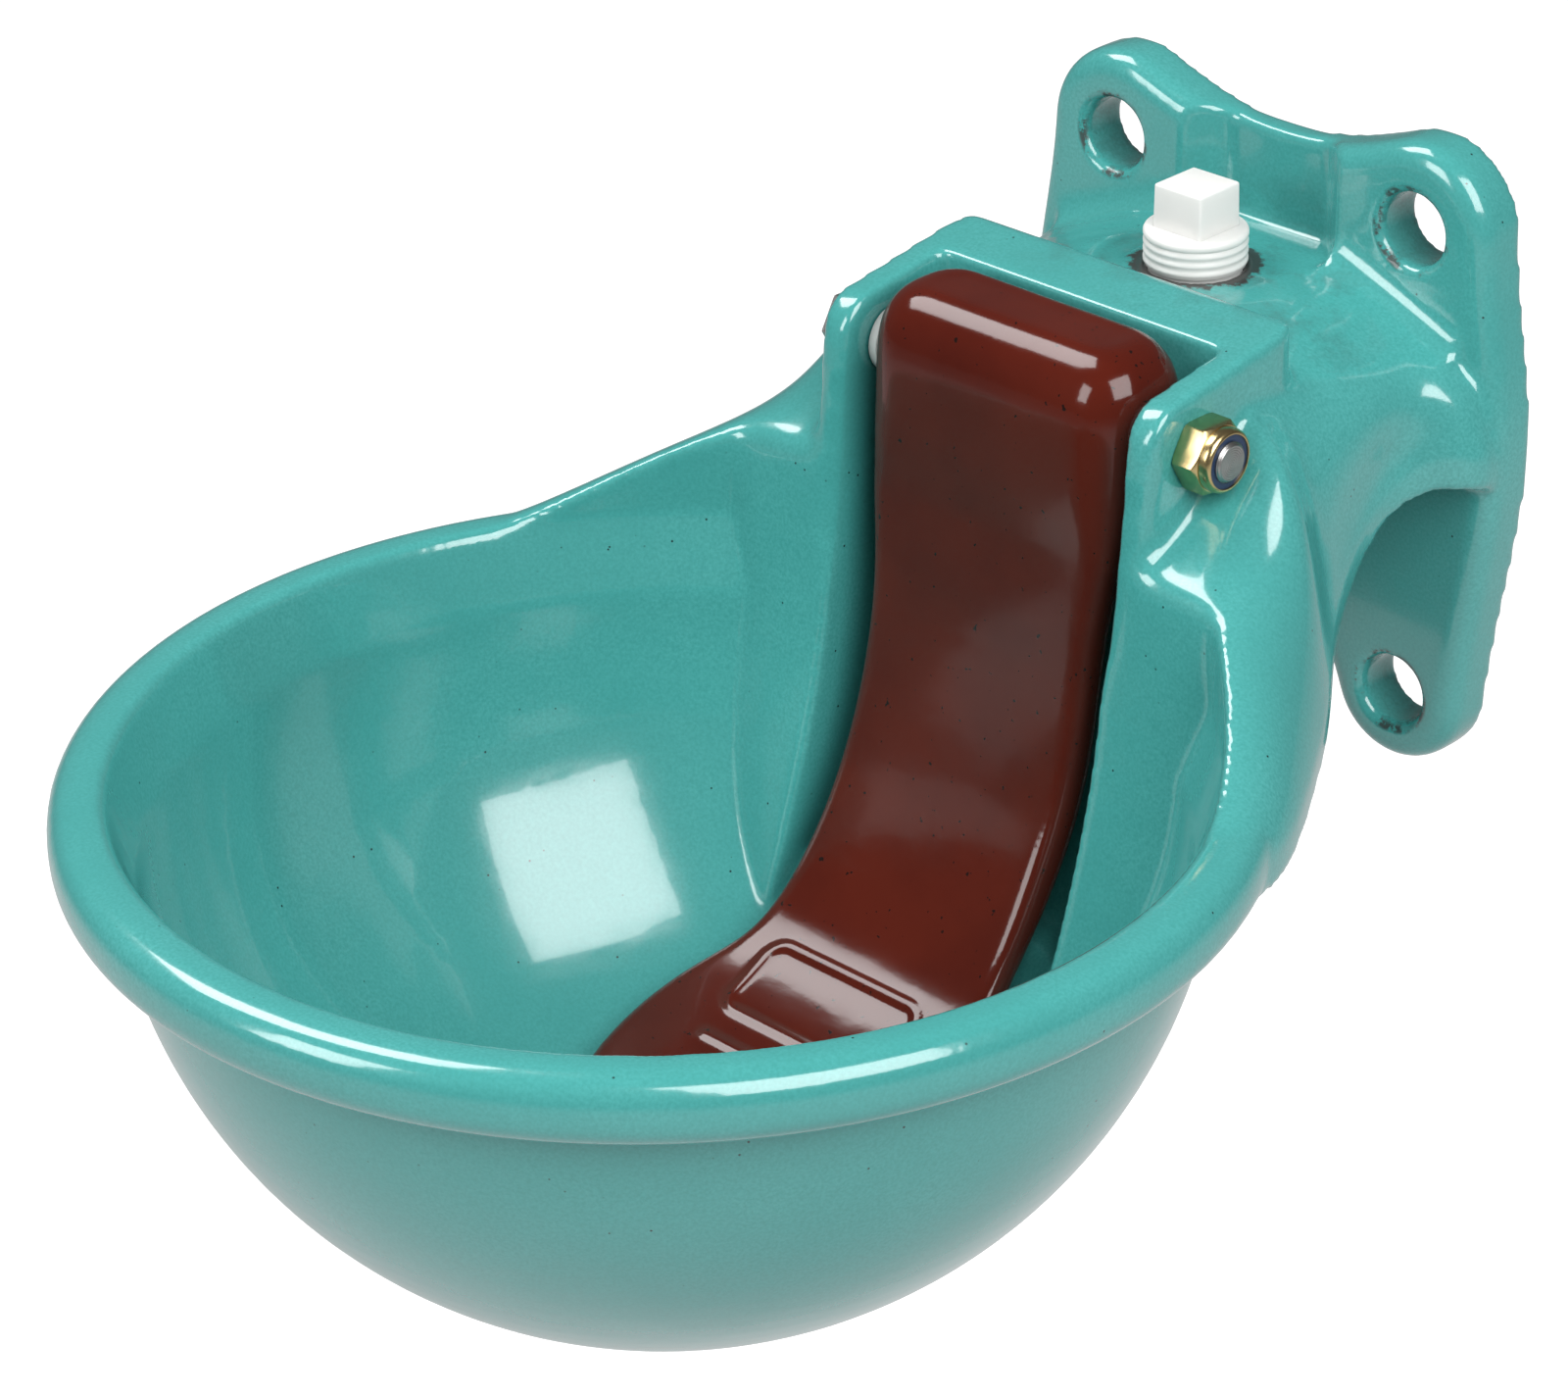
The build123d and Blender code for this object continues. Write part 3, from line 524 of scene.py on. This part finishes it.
def lit_for_camera(tree, strength):
    """An emission that only the camera sees."""
    path = tree.nodes.new("ShaderNodeLightPath")
    seen = tree.nodes.new("ShaderNodeMath")
    seen.operation = "MULTIPLY"
    seen.inputs[1].default_value = strength
    tree.links.new(path.outputs["Is Camera Ray"], seen.inputs[0])
    glow = tree.nodes.new("ShaderNodeEmission")
    tree.links.new(seen.outputs[0], glow.inputs["Strength"])
    return glow.outputs[0]


def floor():
    """A plain pale floor below the wall-hung bowl."""
    half, level = 4.0, Matrix.Translation((0, 0, -0.34))
    shape = bmesh.new()
    bmesh.ops.create_grid(shape, x_segments=1, y_segments=1, size=half, matrix=level)
    mesh = bpy.data.meshes.new("floor")
    shape.to_mesh(mesh)
    shape.free()
    piece = new_piece("floor", mesh)
    s = Shade("pale_floor", roughness=0.9)
    s.put("Base Color", (0.50, 0.50, 0.50))
    both = s.node("ShaderNodeAddShader")
    s.link(s.surface.outputs[0], both.inputs[0])
    s.link(lit_for_camera(s.tree, 0.72), both.inputs[1])
    s.link(both.outputs[0], s.tree.nodes["Material Output"].inputs["Surface"])
    dress(piece, s.material)


def world(strength, in_gloss):
    """Even studio light, plain white where the camera sees past the floor, and a dim room in the gloss."""
    made = bpy.data.worlds.new("studio")
    bpy.context.scene.world = made
    made.use_nodes = True
    tree = made.node_tree
    tree.nodes.clear()
    out = tree.nodes.new("ShaderNodeOutputWorld")
    path = tree.nodes.new("ShaderNodeLightPath")
    shader = None
    for ray, level in ((None, strength), ("Is Glossy Ray", in_gloss), ("Is Camera Ray", 1.0)):
        layer = tree.nodes.new("ShaderNodeBackground")
        layer.inputs["Color"].default_value = (1.0, 1.0, 1.0, 1.0)
        layer.inputs["Strength"].default_value = level
        if shader is None:
            shader = layer.outputs[0]
            continue
        mix = tree.nodes.new("ShaderNodeMixShader")
        tree.links.new(path.outputs[ray], mix.inputs[0])
        tree.links.new(shader, mix.inputs[1])
        tree.links.new(layer.outputs[0], mix.inputs[2])
        shader = mix.outputs[0]
    tree.links.new(shader, out.inputs[0])


def softbox(name, at, size, power):
    """A rectangular lamp at a place, in metres, turned to the middle of the object."""
    light = bpy.data.lights.new(name, "AREA")
    light.shape = "RECTANGLE"
    light.size, light.size_y = size
    light.energy = power
    made = bpy.data.objects.new(name, light)
    bpy.context.collection.objects.link(made)
    made.location = at
    made.rotation_euler = (Vector(MIDDLE) - Vector(at)).to_track_quat("-Z", "Y").to_euler()


def camera():
    """The camera: its direction, its tilt, its distance and the two steps that frame the object."""
    azimuth, elevation, tilt = (math.radians(v) for v in (45.07, 27.91, -1.15))
    distance, step_right, step_up = 937.07, -26.26, 11.65
    focal_px, width_px, sensor_mm = 4944.98, 1600.0, 36.0
    target = Vector((0.0, -110.0, -40.0))
    back = Vector((math.sin(azimuth) * math.cos(elevation), -math.cos(azimuth) * math.cos(elevation),
                   math.sin(elevation)))
    right = Vector((math.cos(azimuth), math.sin(azimuth), 0.0))
    up = back.cross(right)
    tilted_right = right * math.cos(tilt) + up * math.sin(tilt)
    tilted_up = up * math.cos(tilt) - right * math.sin(tilt)
    place = (target + back * distance + tilted_right * step_right + tilted_up * step_up) * MM
    data = bpy.data.cameras.new("camera")
    data.sensor_width = sensor_mm
    data.lens = focal_px / width_px * sensor_mm
    data.clip_start, data.clip_end = 0.01, 20.0
    made = bpy.data.objects.new("camera", data)
    bpy.context.collection.objects.link(made)
    made.matrix_world = Matrix((tilted_right, tilted_up, back)).transposed().to_4x4()
    made.location = place
    bpy.context.scene.camera = made


floor()
world(0.42, 0.12)
softbox("key", (-0.75, -0.35, 1.15), (0.55, 0.75), 11.5)
softbox("front", (-0.35, -1.25, 0.55), (0.45, 0.60), 6.0)
softbox("right", (0.98, -0.42, 0.92), (0.95, 1.00), 21.0)
camera()
bpy.context.scene.view_settings.view_transform = "Standard"
